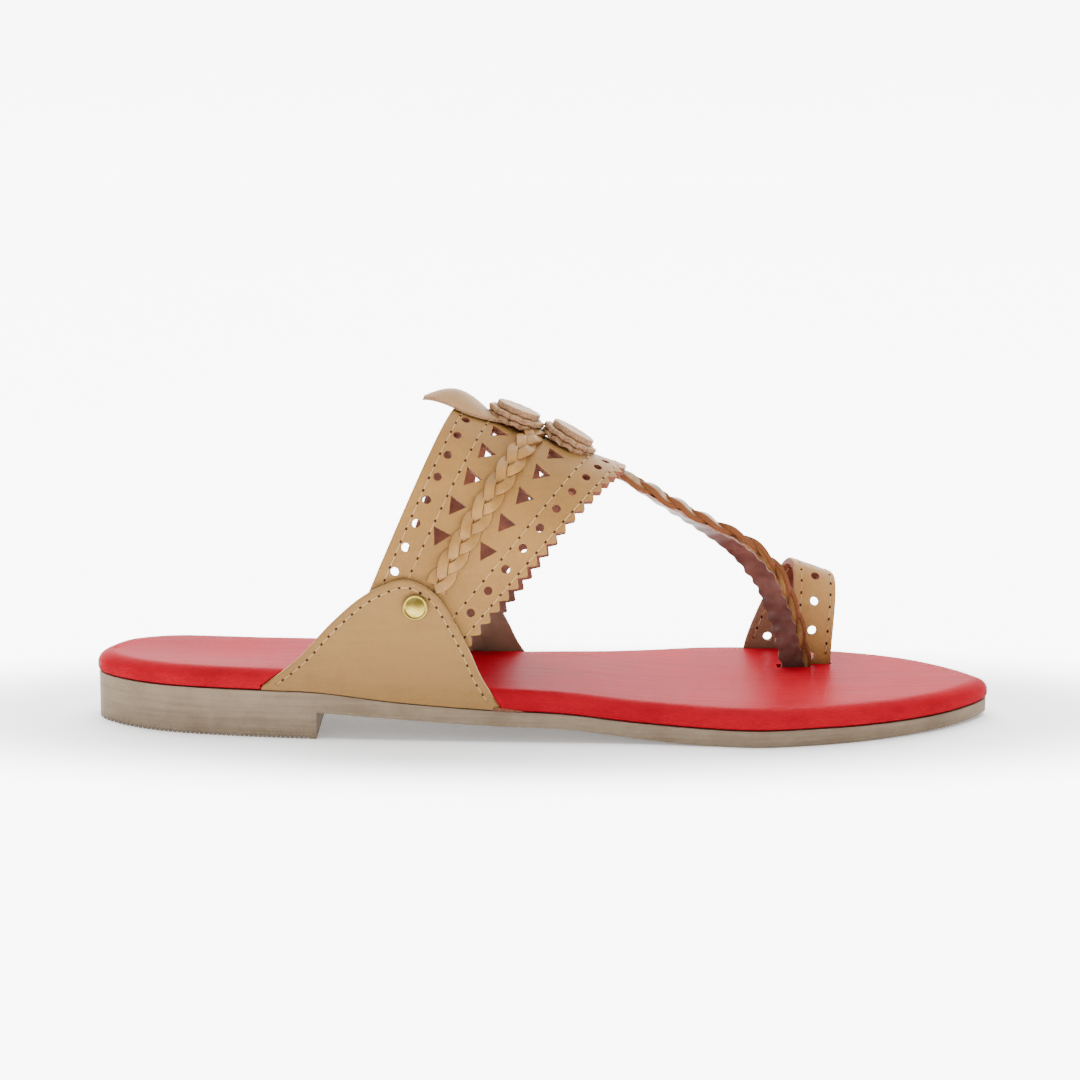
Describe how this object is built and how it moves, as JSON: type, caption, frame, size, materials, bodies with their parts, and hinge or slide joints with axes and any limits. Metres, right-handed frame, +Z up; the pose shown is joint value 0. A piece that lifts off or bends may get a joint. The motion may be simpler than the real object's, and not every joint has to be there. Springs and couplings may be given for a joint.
{
  "type": "kolhapuri sandal",
  "caption": "Flat sandal with a punched instep band, raised plaits, twisted thong, toe loop, side tabs, leaf and rosettes over a rounded insole and low heel.",
  "frame": {"origin": "on the ground, under the middle of the shoe's box", "axes": "+X from heel to toe, +Y to the inner (medial) side of the right foot, +Z up"},
  "size_m": [0.257, 0.0898, 0.0951],
  "materials": {
    "outsole": "matt, faintly brushed",
    "insole": "smooth, satin",
    "upper": "smooth, matt",
    "tab": "smooth, matt",
    "trim": "smooth, matt, raw edges",
    "rivet": "polished"
  },
  "bodies": {
    "root": {"outsole": "outsole", "insole": "insole", "upper": "upper", "toe_loop": "upper", "side_tab_lateral": "tab", "side_tab_medial": "tab", "rivet_lateral": "rivet", "rivet_medial": "rivet", "leaf": "trim", "rosette_rear_scalloped": "trim", "rosette_rear_disc": "trim", "rosette_front_scalloped": "trim", "rosette_front_disc": "trim"}
  },
  "joints": []
}
